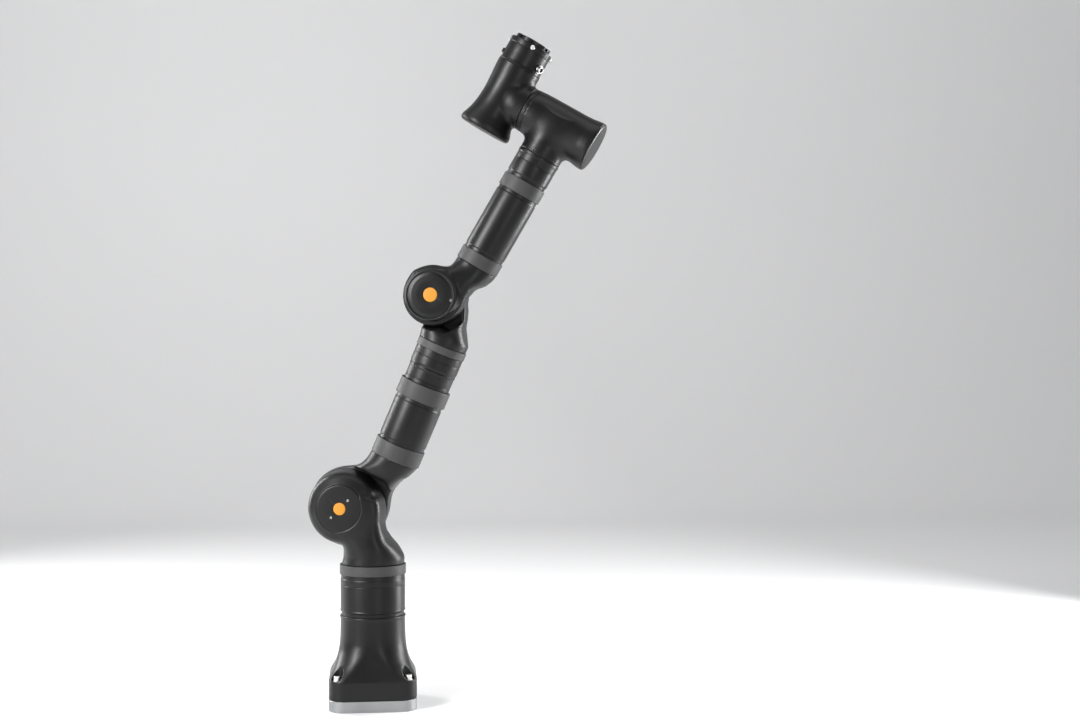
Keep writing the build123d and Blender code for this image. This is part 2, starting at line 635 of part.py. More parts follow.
def forearm_parts():
    here = Pos(0, 0, 0)
    axis = Pos(FOREARM_AXIS, 0, 0)
    holes = screw_holes(here, to_front, J4_BARREL, FOREARM_CAP_SCREWS)
    yield "j4_output", to_front(drive_output(*DRIVE_4))
    yield "forearm_housing", drilled(forearm_housing(), holes)
    yield "forearm_lower_band", axis * band(BAND_5, BAND_5[2] - 4.95)
    yield "forearm_tube", axis * tube(BAND_5, BAND_6, FORE_TUBE_R)
    yield "forearm_upper_band", axis * band(BAND_6, BAND_6[2] - 4.95)
    yield "forearm_joint_housing", axis * joint_housing(BAND_6, FORE_TUBE_R, J5_ALONG, DRIVE_5)
    yield "forearm_cap", drilled(hinge_cap(here, to_front, J4_BARREL), holes)
    yield "forearm_cap_disc", to_front(cap_disc(J4_BARREL))
    yield "forearm_cap_screws", hinge_screws(here, to_front, J4_BARREL, FOREARM_CAP_SCREWS)
    yield "j5_drive", axis * Pos(0, 0, J5_ALONG) * drive_unit(*DRIVE_5)


def wrist_1_parts():
    lid = to_right(drilled(wrist_lid(41.0, 44.0, 77.0, 81.0), lid_holes(36.0, 81.0, 3)))
    yield "j5_output", Pos(0, 0, J5_ALONG - WRIST_ALONG) * drive_output(*DRIVE_5)
    yield "wrist_1_housing", wrist_1_housing()
    yield "wrist_1_lid", lid
    yield "wrist_1_lid_screws", to_right(lid_screws(36.0, 81.0, 3))
    yield "j6_drive", Pos(-J6_LINE, 0, 0) * to_left(drive_unit(*DRIVE_6))


def wrist_2_parts():
    lid = Rot(180, 0, 0) * drilled(wrist_lid(41.0, 46.0, 70.0, 74.0), lid_holes(37.0, 74.0, 3))
    yield "j6_output", Pos(WRIST_2_OFFSET - J6_LINE, 0, 0) * to_left(drive_output(*DRIVE_6))
    yield "wrist_2_housing", wrist_2_housing()
    yield "wrist_2_lid", lid
    yield "wrist_2_lid_screws", Rot(180, 0, 0) * lid_screws(37.0, 74.0, 3)
    yield "j7_drive", Pos(0, 0, J7_LINE) * drive_unit(*DRIVE_7)


def tool_flange_parts():
    yield "j7_output", Pos(0, 0, J7_LINE) * drive_output(*DRIVE_7)
    yield "tool_flange_body", tool_flange_body()
    yield "tool_face", tool_face()
    yield "tool_face_screws", tool_face_screws()
    yield "tool_connector", tool_connector()
    yield "tool_button", tool_button()


LINKS = [
    (base_parts, lambda shape: shape),
    (shoulder_parts, in_arm_plane),
    (upper_arm_parts, on_upper_arm),
    (elbow_parts, on_upper_arm),
    (forearm_parts, on_forearm),
    (wrist_1_parts, on_wrist),
    (wrist_2_parts, on_wrist_2),
    (tool_flange_parts, on_wrist_2),
]

for parts, place in LINKS:
    for node, shape in parts():
        export_step(place(shape), f"parts/{node}.step")
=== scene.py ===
import json
import math

import bpy
import numpy as np
from mathutils import Matrix, Vector


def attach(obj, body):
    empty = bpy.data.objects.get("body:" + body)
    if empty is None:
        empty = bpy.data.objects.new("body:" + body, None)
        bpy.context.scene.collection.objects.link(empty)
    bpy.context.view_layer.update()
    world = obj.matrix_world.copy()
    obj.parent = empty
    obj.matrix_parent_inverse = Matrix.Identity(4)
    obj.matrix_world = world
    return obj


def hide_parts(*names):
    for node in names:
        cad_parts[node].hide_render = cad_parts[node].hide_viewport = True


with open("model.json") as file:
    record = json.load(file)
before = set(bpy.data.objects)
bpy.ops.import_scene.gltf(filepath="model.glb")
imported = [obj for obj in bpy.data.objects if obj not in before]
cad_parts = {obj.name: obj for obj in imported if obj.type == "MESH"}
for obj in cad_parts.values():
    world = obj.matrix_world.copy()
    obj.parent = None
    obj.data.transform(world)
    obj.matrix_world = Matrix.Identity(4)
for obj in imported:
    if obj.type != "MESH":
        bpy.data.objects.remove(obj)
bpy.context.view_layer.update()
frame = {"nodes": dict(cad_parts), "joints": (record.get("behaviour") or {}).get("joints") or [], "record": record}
nodes = frame["nodes"]
joints = {joint["name"]: joint for joint in frame["joints"]}

# ---------------------------------------------------------------- driving dimensions, mm
# Lines, axes and offsets along the arm; a band is (low, high, radius), a barrel (radius, cap radius, depth),
# a drive (radius, length) and a scoop (radius, slope, blend, relief start, relief width, relief depth).
FOOT_BOTTOM = 21.6
FOOT_TOP = 55.4
COLUMN_R = 59.4
COLUMN_OFFSET = 48.0
SHOULDER_FOOT = 105.5
SCREW_PITCH = 128.0
J1_LINE = 166.0
UPPER_AXIS = 47.5
J3_LINE = 298.0
FOREARM_AXIS = 38.0
J5_ALONG = 315.0
WRIST_ALONG = 379.0
J6_LINE = 64.0
WRIST_2_OFFSET = 115.0
J7_LINE = 58.0
FLANGE_R = 40.6
FLANGE_TOP = 104.0
BAND_1 = (241.5, 259.5, 61.0)
BAND_2 = (118.0, 148.0, 46.9)
BAND_3 = (237.0, 267.0, 48.0)
BAND_4 = (333.0, 347.0, 46.6)
BAND_5 = (85.0, 109.0, 40.9)
BAND_6 = (238.0, 263.0, 41.0)
J2_BARREL = (72.0, 44.0, 58.0)
J4_BARREL = (56.0, 43.0, 52.0)
J2_FRONT_R = 71.3
J2_REAR_R = 75.6
SHOULDER_SCOOP = (77.8, 0.5, 4.0, 44.0, 18.0, 8.0)
UPPER_SCOOP = (74.3, 0.12, 7.0, 26.0, 24.0, 10.5)
ELBOW_SCOOP = (57.6, 0.12, 6.0, 34.0, 14.0, 10.5)
FORE_SCOOP = (57.8, 0.7, 6.0, 30.0, 16.0, 10.0)
UPPER_TUBE_R = 45.2
FOREARM_TUBE_R = 39.6
DRIVES = {"j1": (50.0, 70.0), "j2": (54.0, 44.0), "j3": (36.0, 56.0), "j4": (42.0, 40.0),
          "j5": (31.0, 48.0), "j6": (28.0, 44.0), "j7": (31.0, 38.0)}
CAP_THICK = 4.0
J2_DISC = 11.4
J4_DISC = 13.0
ELBOW_CAP_BEVEL = 1.6
GAP = 0.3
STEP = 1.6
TURN_SEGMENTS = 144

# ---------------------------------------------------------------- stage and camera, metres and degrees
FLOOR_HALF = 9.0
FLOOR_FRONT = -7.0
BEND_START = 3.0
BEND_R = 1.6
BEND_STEPS = 32
WALL_TOP = 7.0
LIGHT_TARGET = (0.1, 0.0, 0.6)
WORLD_STRENGTH = 0.3
CAMERA_PLACE = (0.0, -2.804, 0.637)
CAMERA_TURN = -6.353
CAMERA_LENS = 50.0


# ---------------------------------------------------------------- link frames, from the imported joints
def joint_pos(name):
    return Vector(joints[name]["pos_m"])


def joint_axis(name):
    return Vector(joints[name]["axis"]).normalized()


REAR = joint_axis("j4_elbow_fold")


def link_frame(origin, along):
    """Local millimetres to the row frame: X right, Y to the rear, Z along the link."""
    right = REAR.cross(along).normalized()
    turn = Matrix((right, REAR, along)).transposed().to_4x4()
    turn.translation = origin
    return turn @ Matrix.Scale(0.001, 4)


BASE = Matrix.Scale(0.001, 4)
COLUMN = link_frame(Vector((0, 0, 0)), Vector((0, 0, 1)))
SHOULDER = link_frame(joint_pos("j2_shoulder_fold"), Vector((0, 0, 1)))
UPPER = link_frame(joint_pos("j2_shoulder_fold"), joint_axis("j3_upper_arm_turn"))
ELBOW = link_frame(joint_pos("j4_elbow_fold"), joint_axis("j3_upper_arm_turn"))
FORE = link_frame(joint_pos("j4_elbow_fold"), joint_axis("j5_forearm_turn"))
WRIST = link_frame(joint_pos("j6_wrist_turn") + joint_axis("j6_wrist_turn") * J6_LINE * 0.001,
                   joint_axis("j5_forearm_turn"))
TOOL = link_frame(joint_pos("j7_flange_turn") - joint_axis("j7_flange_turn") * J7_LINE * 0.001,
                  joint_axis("j7_flange_turn"))


def shifted(x=0.0, y=0.0, z=0.0):
    return Matrix.Translation((x, y, z))


TO_REAR = Matrix.Rotation(math.radians(-90), 4, "X")
TO_FRONT = Matrix.Rotation(math.radians(90), 4, "X")
TO_RIGHT = Matrix.Rotation(math.radians(90), 4, "Y")
TO_DOWN = Matrix.Rotation(math.radians(180), 4, "X")


# ---------------------------------------------------------------- making pieces
def signed_volume(mesh):
    mesh.calc_loop_triangles()
    points = np.array([v.co for v in mesh.vertices])
    corners = points[np.array([t.vertices for t in mesh.loop_triangles])]
    return float((corners[:, 0] * np.cross(corners[:, 1], corners[:, 2])).sum())


def add_piece(name, verts, faces, place, body, material, replaced=(), slot=None):
    """Mesh piece in a link's millimetres, put into the row frame and set to ride its body."""
    mesh = bpy.data.meshes.new(name)
    mesh.from_pydata([tuple(v) for v in verts], [], [tuple(f) for f in faces])
    mesh.transform(place)
    if signed_volume(mesh) < 0:
        mesh.flip_normals()
    mesh.update()
    mesh.shade_smooth()
    mesh.materials.append(material)
    piece = bpy.data.objects.new(name, mesh)
    bpy.context.scene.collection.objects.link(piece)
    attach(piece, body)
    if replaced:
        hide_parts(*replaced)
    return piece


def rounded(corners):
    """Outline of (radius, height, fillet) corners with each fillet drawn as an arc."""
    outline = []
    count = len(corners)
    for i, corner in enumerate(corners):
        here = np.array(corner[:2], float)
        fillet = corner[2] if len(corner) > 2 else 0.0
        if fillet <= 0:
            outline.append(tuple(here))
            continue
        before = np.array(corners[i - 1][:2], float) - here
        after = np.array(corners[(i + 1) % count][:2], float) - here
        before_len, after_len = np.linalg.norm(before), np.linalg.norm(after)
        before, after = before / before_len, after / after_len
        half = math.acos(max(-1.0, min(1.0, float(before @ after)))) / 2
        reach = min(fillet / math.tan(half), 0.48 * before_len, 0.48 * after_len)
        radius = reach * math.tan(half)
        centre = here + (before + after) / np.linalg.norm(before + after) * radius / math.sin(half)
        start, end = here + before * reach - centre, here + after * reach - centre
        sweep = math.pi - 2 * half
        sign = 1.0 if start[0] * end[1] - start[1] * end[0] > 0 else -1.0
        steps = max(2, int(math.degrees(sweep) / 18) + 1)
        for k in range(steps + 1):
            a = sign * sweep * k / steps
            x = start[0] * math.cos(a) - start[1] * math.sin(a)
            y = start[0] * math.sin(a) + start[1] * math.cos(a)
            outline.append((centre[0] + x, centre[1] + y))
    return outline


def turned(name, corners, place, body, material, **more):
    """Turned piece: the closed outline of (radius, height, fillet) corners swept round Z."""
    outline = rounded(corners)
    verts, rings = [], []
    for radius, height in outline:
        if radius < 1e-6:
            rings.append([len(verts)] * TURN_SEGMENTS)
            verts.append((0.0, 0.0, height))
            continue
        rings.append(list(range(len(verts), len(verts) + TURN_SEGMENTS)))
        for k in range(TURN_SEGMENTS):
            a = 2 * math.pi * k / TURN_SEGMENTS
            verts.append((radius * math.cos(a), radius * math.sin(a), height))
    faces = []
    for i, ring in enumerate(rings):
        other = rings[(i + 1) % len(rings)]
        if ring[0] == ring[1] and other[0] == other[1]:
            continue
        for k in range(TURN_SEGMENTS):
            n = (k + 1) % TURN_SEGMENTS
            quad = [ring[k], ring[n], other[n], other[k]]
            face = [v for j, v in enumerate(quad) if v != quad[j - 1]]
            faces.append(face)
    return add_piece(name, verts, faces, place, body, material, **more)


# ---------------------------------------------------------------- smooth solids as distance fields
def smooth_min(a, b, k):
    h = np.clip(0.5 + 0.5 * (b - a) / k, 0.0, 1.0)
    return b * (1 - h) + a * h - k * h * (1 - h)


def smooth_max(a, b, k):
    return -smooth_min(-a, -b, k)


def curve(heights, values):
    """Smooth function through the given values, with no overshoot between them."""
    hs, vs = np.array(heights, float), np.array(values, float)
    step, rise = np.diff(hs), np.diff(vs)
    secant = rise / step
    slope = np.zeros_like(vs)
    both = secant[:-1] * secant[1:] > 0
    mean = 2 * secant[:-1] * secant[1:] / np.where(both, secant[:-1] + secant[1:], 1.0)
    slope[1:-1] = np.where(both, mean, 0.0)
    slope[0], slope[-1] = secant[0], secant[-1]

    def value(z):
        z = np.clip(z, hs[0], hs[-1])
        i = np.clip(np.searchsorted(hs, z) - 1, 0, len(step) - 1)
        t = (z - hs[i]) / step[i]
        t2, t3 = t * t, t * t * t
        return ((2 * t3 - 3 * t2 + 1) * vs[i] + (t3 - 2 * t2 + t) * step[i] * slope[i]
                + (3 * t2 - 2 * t3) * vs[i + 1] + (t3 - t2) * step[i] * slope[i + 1])

    return value


def neck_field(sections, sign=1.0, blend=8.0):
    """Tube of (height, centre x, centre y, half width, half depth, squareness), melted at its far end."""
    heights = [s[0] for s in sections]
    cx, cy, hx, hy, power = [curve(heights, [s[i] for s in sections]) for i in range(1, 6)]
    hinge_end = heights[-1] if sign > 0 else heights[0]

    def field(x, y, z):
        wide, deep, p = hx(z), hy(z), power(z)
        across = np.abs(x - cx(z)) / wide + 1e-6
        along = np.abs(y - cy(z)) / deep + 1e-6
        q = (across ** p + along ** p) ** (1.0 / p)
        side = (q - 1.0) * np.minimum(wide, deep)
        return smooth_max(side, sign * (z - hinge_end), blend)

    return field


def rod_field(radius, low, high, blend=0.6):
    """Cylinder about Z, as a function of distance from its axis and height."""
    def field(r, h):
        return smooth_max(smooth_max(r - radius, h - high, blend), low - h, 0.3)

    return field


def radius_field(heights, radii, blend=1.0):
    """Turned shape whose radius changes smoothly along its axis."""
    radius = curve(heights, radii)

    def field(r, h):
        side = r - radius(h)
        return smooth_max(smooth_max(side, h - heights[-1], blend), heights[0] - h, blend)

    return field


def carved(field, cut, k=0.4):
    return smooth_max(field, -cut, k)


def net(field, low, high, step):
    """Quads on the field's zero surface, one vertex in each crossed cell, pulled onto the surface."""
    axes = [np.arange(a - 2 * step, b + 3 * step, step) for a, b in zip(low, high)]
    grid = np.meshgrid(*axes, indexing="ij")
    value = field(*grid)
    shape = np.array(value.shape)
    total = np.zeros(tuple(shape - 1) + (3,))
    count = np.zeros(tuple(shape - 1))
    crossings = []
    for axis in range(3):
        first = [slice(None)] * 3
        second = [slice(None)] * 3
        first[axis], second[axis] = slice(0, -1), slice(1, None)
        a, b = value[tuple(first)], value[tuple(second)]
        where = np.argwhere((a < 0) != (b < 0))
        others = [i for i in range(3) if i != axis]
        inner = np.all([(where[:, i] > 0) & (where[:, i] < shape[i] - 1) for i in others], axis=0)
        where = where[inner]
        a, b = a[tuple(where.T)], b[tuple(where.T)]
        point = where.astype(float)
        point[:, axis] += a / (a - b)
        cells = []
        for d in ((0, 0), (-1, 0), (-1, -1), (0, -1)):
            cell = where.copy()
            cell[:, others[0]] += d[0]
            cell[:, others[1]] += d[1]
            cells.append(cell)
            np.add.at(total, tuple(cell.T), point)
            np.add.at(count, tuple(cell.T), 1)
        crossings.append((axis, a < 0, cells))
    used = np.argwhere(count > 0)
    index = -np.ones(tuple(shape - 1), int)
    index[tuple(used.T)] = np.arange(len(used))
    origin = np.array([a[0] for a in axes])
    verts = origin + step * total[tuple(used.T)] / count[tuple(used.T)][:, None]
    faces = []
    for axis, leaving, cells in crossings:
        quad = np.stack([index[tuple(c.T)] for c in cells], axis=1)
        flip = leaving if axis == 1 else ~leaving
        quad[flip] = quad[flip][:, ::-1]
        faces.append(quad)
    return pulled(field, verts, step), np.concatenate(faces)


def gradient(field, points, e=0.05):
    parts = []
    for axis in range(3):
        d = np.zeros(3)
        d[axis] = e
        ahead, behind = points + d, points - d
        parts.append((field(*ahead.T) - field(*behind.T)) / (2 * e))
    return np.stack(parts, axis=1)


def pulled(field, points, step):
    start = points.copy()
    for _ in range(4):
        slope = gradient(field, points)
        size = np.maximum((slope * slope).sum(axis=1), 0.05)
        points = points - slope * (field(*points.T) / size)[:, None]
        points = start + np.clip(points - start, -step, step)
    return points


def modelled(name, field, low, high, place, body, material, **more):
    """Smooth cast piece from a distance field, in a link's millimetres."""
    verts, faces = net(field, low, high, STEP)
    return add_piece(name, verts, faces, place, body, material, **more)


# ---------------------------------------------------------------- materials
def new_material(name, colour, metallic, roughness, gloss=0.5):
    material = bpy.data.materials.new(name)
    material.use_nodes = True
    tree = material.node_tree
    shader = tree.nodes["Principled BSDF"]
    shader.inputs["Base Color"].default_value = (*colour, 1.0)
    shader.inputs["Metallic"].default_value = metallic
    shader.inputs["Roughness"].default_value = roughness
    shader.inputs["Specular IOR Level"].default_value = gloss
    return material, tree, shader


def place_texture(tree, stretch=(1.0, 1.0, 1.0)):
    """Object coordinates in metres, stretched for brushed or turned marks."""
    coord = tree.nodes.new("ShaderNodeTexCoord")
    mapping = tree.nodes.new("ShaderNodeMapping")
    mapping.inputs["Scale"].default_value = stretch
    tree.links.new(coord.outputs["Object"], mapping.inputs["Vector"])
    return mapping.outputs["Vector"]


def noise(tree, vector, scale, detail=3.0, rough=0.55):
    node = tree.nodes.new("ShaderNodeTexNoise")
    node.inputs["Scale"].default_value = scale
    node.inputs["Detail"].default_value = detail
    node.inputs["Roughness"].default_value = rough
    tree.links.new(vector, node.inputs["Vector"])
    return node.outputs["Fac"]


def ranged(tree, value, low, high, out_low, out_high):
    node = tree.nodes.new("ShaderNodeMapRange")
    node.inputs["From Min"].default_value = low
    node.inputs["From Max"].default_value = high
    node.inputs["To Min"].default_value = out_low
    node.inputs["To Max"].default_value = out_high
    tree.links.new(value, node.inputs["Value"])
    return node.outputs["Result"]


def mixed(tree, factor, first, second):
    node = tree.nodes.new("ShaderNodeMix")
    node.data_type = "RGBA"
    colours = [s for s in node.inputs if s.type == "RGBA"]
    tree.links.new(factor, node.inputs[0])
    for socket, colour in zip(colours, (first, second)):
        if isinstance(colour, tuple):
            socket.default_value = (*colour, 1.0)
        else:
            tree.links.new(colour, socket)
    return [s for s in node.outputs if s.type == "RGBA"][0]


def bump(tree, shader, height, strength, distance):
    node = tree.nodes.new("ShaderNodeBump")
    node.inputs["Strength"].default_value = strength
    node.inputs["Distance"].default_value = distance
    tree.links.new(height, node.inputs["Height"])
    tree.links.new(node.outputs["Normal"], shader.inputs["Normal"])


def edge_wear(tree, low, high):
    """Rises on sharp outside edges, where a coat rubs thin."""
    geometry = tree.nodes.new("ShaderNodeNewGeometry")
    return ranged(tree, geometry.outputs["Pointiness"], low, high, 0.0, 1.0)


def coated(name, dark, light, worn, roughness, grain, grain_depth, gloss):
    """Fine-grained coat on cast aluminium, with mottled tone and gloss and rubbed edges."""
    material, tree, shader = new_material(name, dark, 0.0, roughness, gloss)
    vector = place_texture(tree)
    broad = noise(tree, vector, 9.0, 4.0)
    speck = noise(tree, vector, 260.0, 2.0)
    tone = mixed(tree, ranged(tree, broad, 0.35, 0.7, 0.0, 1.0), dark, light)
    rub = edge_wear(tree, 0.54, 0.62)
    tree.links.new(mixed(tree, rub, tone, worn), shader.inputs["Base Color"])
    blend = tree.nodes.new("ShaderNodeMath")
    blend.operation = "ADD"
    tree.links.new(ranged(tree, broad, 0.3, 0.7, roughness - 0.035, roughness + 0.03), blend.inputs[0])
    tree.links.new(ranged(tree, speck, 0.3, 0.7, -0.02, 0.03), blend.inputs[1])
    tree.links.new(blend.outputs[0], shader.inputs["Roughness"])
    bump(tree, shader, noise(tree, vector, grain, 2.0, 0.5), grain_depth, 0.0002)
    return material


def machined(name, dark, light, roughness, stretch, depth):
    """Bare metal with fine directional tool marks."""
    material, tree, shader = new_material(name, dark, 1.0, roughness)
    lines = noise(tree, place_texture(tree, stretch), 60.0, 5.0, 0.65)
    cloud = noise(tree, place_texture(tree), 14.0, 3.0)
    tree.links.new(mixed(tree, ranged(tree, cloud, 0.3, 0.7, 0.0, 1.0), dark, light),
                   shader.inputs["Base Color"])
    tree.links.new(ranged(tree, lines, 0.3, 0.7, roughness - 0.07, roughness + 0.09),
                   shader.inputs["Roughness"])
    bump(tree, shader, lines, depth, 0.0002)
    return material


def moulded(name, dark, light, roughness, grain):
    """Plastic or rubber with a fine moulded grain."""
    material, tree, shader = new_material(name, dark, 0.0, roughness)
    vector = place_texture(tree)
    cloud = noise(tree, vector, 40.0, 3.0)
    tree.links.new(mixed(tree, ranged(tree, cloud, 0.35, 0.7, 0.0, 1.0), dark, light),
                   shader.inputs["Base Color"])
    tree.links.new(ranged(tree, cloud, 0.3, 0.7, roughness - 0.05, roughness + 0.06),
                   shader.inputs["Roughness"])
    bump(tree, shader, noise(tree, vector, grain, 2.0), 0.12, 0.0002)
    return material


BLACK = coated("black_coat", (0.0035, 0.0035, 0.0038), (0.0055, 0.0055, 0.006), (0.020, 0.020, 0.022),
               0.37, 1500.0, 0.06, 0.3)
GREY = coated("grey_coat", (0.042, 0.042, 0.043), (0.052, 0.052, 0.053), (0.085, 0.085, 0.088),
              0.52, 1800.0, 0.16, 0.3)
ORANGE = moulded("orange_disc", (0.50, 0.205, 0.005), (0.55, 0.225, 0.007), 0.55, 1600.0)
PLATE = machined("milled_aluminium", (0.30, 0.305, 0.31), (0.37, 0.375, 0.38), 0.42, (0.12, 1.0, 6.0), 0.18)
STEEL = machined("bright_steel", (0.62, 0.61, 0.59), (0.76, 0.75, 0.73), 0.24, (1.0, 1.0, 8.0), 0.10)
NICKEL = machined("nickel", (0.34, 0.335, 0.33), (0.42, 0.415, 0.41), 0.44, (1.0, 1.0, 4.0), 0.08)
DRIVE_STEEL = machined("drive_steel", (0.30, 0.30, 0.31), (0.38, 0.38, 0.39), 0.38, (1.0, 1.0, 6.0), 0.15)
HUB = machined("hub_aluminium", (0.60, 0.60, 0.61), (0.68, 0.68, 0.69), 0.36, (1.0, 1.0, 6.0), 0.15)
FACE = machined("dark_tool_face", (0.030, 0.030, 0.032), (0.045, 0.045, 0.047), 0.34, (1.0, 1.0, 3.0), 0.12)
RUBBER = moulded("gasket_rubber", (0.006, 0.006, 0.006), (0.012, 0.012, 0.012), 0.75, 900.0)
PLASTIC = moulded("black_plastic", (0.014, 0.014, 0.015), (0.020, 0.020, 0.021), 0.5, 1400.0)

NODE_LOOKS = {"drive_steel": DRIVE_STEEL, "hub_aluminium": HUB, "connector_metal": NICKEL,
              "gasket_rubber": RUBBER, "button_plastic": PLASTIC, "panel_black": PLASTIC,
              "screw_steel": STEEL, "plate_aluminium": PLATE, "tool_face_metal": FACE,
              "housing_black": BLACK, "band_grey": GREY, "disc_orange": ORANGE}


def dress_nodes():
    """Give every carried-over node the look of its material slot."""
    for part in frame["record"]["subparts"]:
        mesh = nodes[part["node"]].data
        mesh.materials.clear()
        mesh.materials.append(NODE_LOOKS[part["material_slot"]])


# ---------------------------------------------------------------- base
def base_field(x, y, z):
    """Round-square foot flaring up into the round column."""
    heights = [FOOT_TOP, 59, 64, 71.6, 80, 94, 105, 117, 130, 144, 158, 170]
    wide = curve(heights, [79.5, 78.2, 75.8, 71.8, 68.4, 64.4, 62.4, 60.9, 60.1, 59.7, 59.45, 59.4])(z)
    corner = curve(heights, [30, 31, 33.5, 38, 43, 52, 57, 59.2, 59.6, 59.5, 59.4, 59.35])(z)
    wide = np.where(z < FOOT_TOP, 80.0, wide)
    qx = np.abs(x) - wide + corner
    qy = np.abs(y) - wide + corner
    side = np.hypot(np.maximum(qx, 0), np.maximum(qy, 0)) + np.minimum(np.maximum(qx, qy), 0) - corner
    body = smooth_max(side, z - J1_LINE, 1.6)
    body = smooth_max(body, FOOT_BOTTOM - z, 1.2)
    r = np.hypot(x, y)
    lip = smooth_max(r - COLUMN_R - 1.2, np.abs(z - J1_LINE + 2.4) - 2.0, 1.4)
    body = smooth_min(body, lip, 0.8)
    body = carved(body, np.maximum(r - 48.0, z - 90.0))
    body = carved(body, r - DRIVES["j1"][0])
    corner_r = np.hypot(np.abs(x) - SCREW_PITCH / 2, np.abs(y) - SCREW_PITCH / 2)
    body = carved(body, np.maximum(corner_r - 11.0, FOOT_TOP - z), 0.9)
    body = carved(body, corner_r - 4.5)
    recess = np.maximum(np.maximum(np.abs(x) - 31.0, np.abs(z - 60.0) - 15.0), 66.0 - y)
    return carved(body, recess, 1.4)


def make_base():
    modelled("base_casting", base_field, (-80, -80, FOOT_BOTTOM), (80, 80, J1_LINE), BASE, "base",
             BLACK, replaced=["base_housing"], slot="housing_black")


# ---------------------------------------------------------------- shared shapes
def band(name, size, place, body, node):
    low, high, outer = size
    turned(name, [(outer - 4.9, low), (outer, low, 0.9), (outer, high, 0.9), (outer - 4.9, high)],
           place, body, GREY, replaced=[node], slot="band_grey")


def tube_outline(low_band, high_band, outer):
    """Tube with a raised collar and a fine groove beside each band."""
    low, high = low_band[1], high_band[0]
    low_mid, high_mid = (low_band[0] + low) / 2, (high + high_band[1]) / 2
    inner = outer - 9
    return [(inner, low_mid), (low_band[2] - 5, low_mid), (low_band[2] - 5, low + 0.3),
            (outer - 1.1, low + 0.3, 0.4), (outer - 1.1, low + 6.5, 1.2),
            (outer, low + 8.0, 1.5), (outer, high - 8.0, 1.5),
            (outer - 1.1, high - 6.5, 1.2), (outer - 1.1, high - 0.3, 0.4), (high_band[2] - 5, high - 0.3),
            (high_band[2] - 5, high_mid), (inner, high_mid)]


def hinge_cap(name, size, disc_r, place, body, node, bevel=0.0):
    """Slightly domed cover with a fine gap round it and a sunk seat for the disc."""
    cap_r, depth = size[1:]
    seat = depth - CAP_THICK
    inner, edge = cap_r - 7.1, cap_r - 0.45
    turned(name, [(0, seat - 5), (inner, seat - 5), (inner, seat), (edge, seat),
                  (edge, depth - 1.0 - bevel, 0.4), (cap_r - 3 - 3 * bevel, depth - 0.5, 2),
                  (cap_r - 17, depth - 0.1, 8), (disc_r + 0.7, depth, 0.4), (disc_r + 0.7, depth - 1.5),
                  (0, depth - 1.5)],
           place, body, BLACK, replaced=[node], slot="housing_black")


def cap_disc(name, size, disc_r, place, body, node):
    depth = size[2]
    turned(name, [(0, depth - 1.45), (disc_r, depth - 1.45), (disc_r, depth - 0.3, 0.5), (0, depth + 0.1)],
           place, body, ORANGE, replaced=[node], slot="disc_orange")


def joint_bore(key, r, h):
    """Seat that a drive fills, measured inwards from its joint face."""
    radius, length = DRIVES[key]
    return np.maximum(r - radius, h - length - 2)


def hub_recess(key, r, h):
    radius = DRIVES[key][0]
    return np.minimum(np.maximum(r - 0.8 * radius - 0.05, h - 5.0), np.maximum(r - 0.3 * radius, h - 14.0))


# ---------------------------------------------------------------- shoulder hinge halves
def half_plane(r, h, first, second):
    """Distance outside the line from one (radius, depth) point of a profile to the next."""
    dr, dh = second[0] - first[0], second[1] - first[1]
    length = math.hypot(dr, dh)
    return ((r - first[0]) * dh - (h - first[1]) * dr) / length


def cap_top(field, r, h, size):
    """Flat seat for the cap, flush with the slope round it."""
    cap_r, depth = size[1:]
    field = smooth_max(field, h - depth + 1.2, 0.6)
    field = carved(field, np.maximum(r - cap_r, depth - CAP_THICK - h), 0.3)
    return np.maximum(field, GAP / 2 - h)


def domed_half(r, h, size, outer):
    """Half hinge: tapered side, soft shoulder, shallow cone up to the cap."""
    side = smooth_max(r - outer, half_plane(r, h, (outer, 12), (outer - 7.5, 44)), 6.0)
    cone = half_plane(r, h, (outer - 7, 43.5), (size[1], size[2] - 1.3))
    return cap_top(smooth_max(side, cone, 7.0), r, h, size)


def scooped(body, x, r, past, scoop):
    """Room for the other half past the joint face, wider towards +x where the necks meet when folded."""
    radius, slope, blend, start, width, depth = scoop
    relief = depth * np.clip((x - start) / width, 0.0, 1.0)
    clear = radius + slope * np.maximum(past, 0) + relief
    return smooth_max(body, -np.maximum(r - clear, -GAP / 2 - past), blend)


SHOULDER_NECK = [(-SHOULDER_FOOT, COLUMN_OFFSET, 0, 57.6, 57.6, 2.0),
                 (-93, 50, -0.5, 56.2, 56.6, 2.05), (-75, 46.5, -3, 49.5, 54, 2.5),
                 (-53, 38.5, -10, 41, 46, 3.2), (-30, 30, -18, 43, 38, 4.2),
                 (0, 24, -25, 47.6, 31, 5.0), (16, 20, -27, 48, 28, 5.0)]


def shoulder_field(x, y, z):
    """Front half of the shoulder hinge flowing down into the column, origin on the J2 axis."""
    r, h = np.hypot(x, z), -y
    size = J2_BARREL
    body = smooth_min(domed_half(r, h, size, J2_FRONT_R), neck_field(SHOULDER_NECK)(x, y, z), 12.0)
    body = scooped(body, x, r, -h, SHOULDER_SCOOP)
    body = np.maximum(body, -SHOULDER_FOOT - z)
    body = carved(body, np.maximum(np.hypot(x - COLUMN_OFFSET, y) - 46.0, z + 75.5))
    body = carved(body, joint_bore("j2", r, h))
    return carved(body, np.maximum(r - size[1] + 5, 40 - h))


